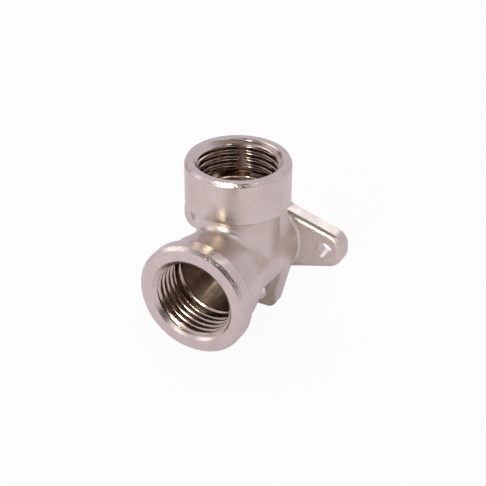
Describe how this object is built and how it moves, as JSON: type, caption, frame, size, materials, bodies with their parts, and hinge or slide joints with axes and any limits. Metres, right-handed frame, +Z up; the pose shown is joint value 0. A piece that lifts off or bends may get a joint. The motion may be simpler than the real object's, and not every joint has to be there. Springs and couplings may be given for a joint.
{
  "type": "wall plate elbow",
  "caption": "Right-angle pipe elbow with female threaded sockets and a three-lug plate that screws to a wall, for a tap or water outlet.",
  "frame": {"origin": "on the wall face, where the outlet axis meets it", "axes": "+Z up the pipe socket, -Y out of the outlet socket away from the wall, X across the two side lugs"},
  "size_m": [0.0454, 0.0396, 0.0493],
  "materials": {
    "nickel_plated_brass": "nickel plated: satin shot-blasted outside, bright machined mouths and threads"
  },
  "bodies": {
    "root": {"elbow_body": "nickel_plated_brass"}
  },
  "joints": []
}
